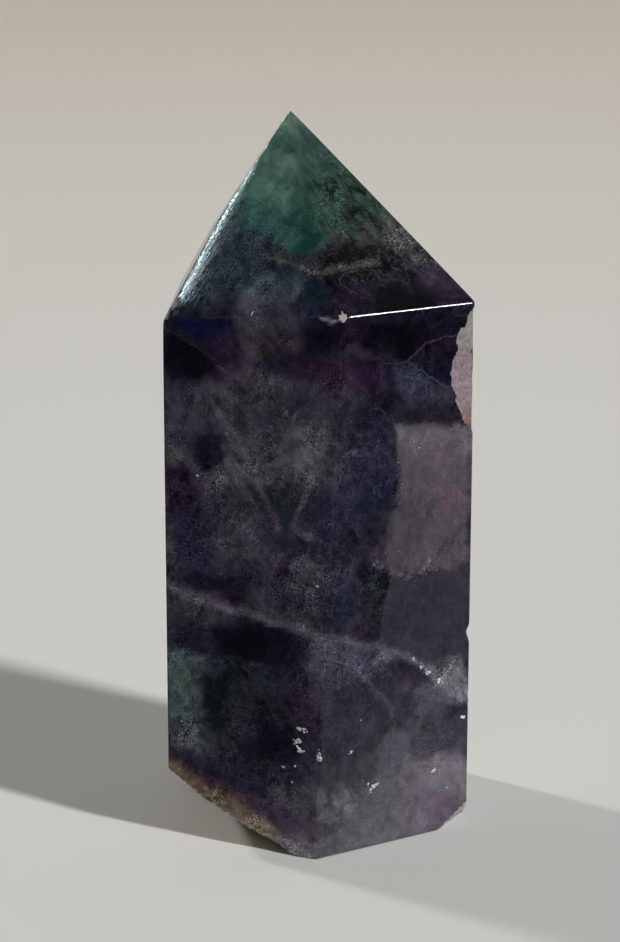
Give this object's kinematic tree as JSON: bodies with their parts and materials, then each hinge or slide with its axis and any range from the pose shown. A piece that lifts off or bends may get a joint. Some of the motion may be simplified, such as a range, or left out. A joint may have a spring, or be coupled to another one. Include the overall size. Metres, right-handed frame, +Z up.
{
  "type": "fluorite obelisk",
  "caption": "Hand-ground fluorite tower: a six-sided polished column with a six-sided point and a sawn flat foot, one lower corner lost along a cleavage plane.",
  "frame": {"origin": "middle of the foot's outline box, on the surface that the tower stands on", "axes": "+Z up through the point, -Y towards the front edge"},
  "size_m": [0.0379, 0.0422, 0.0899],
  "materials": {
    "fluorite": "polished, with worn edges and raw cleavage breaks"
  },
  "bodies": {
    "root": {"fluorite_tower": "fluorite"}
  },
  "joints": []
}
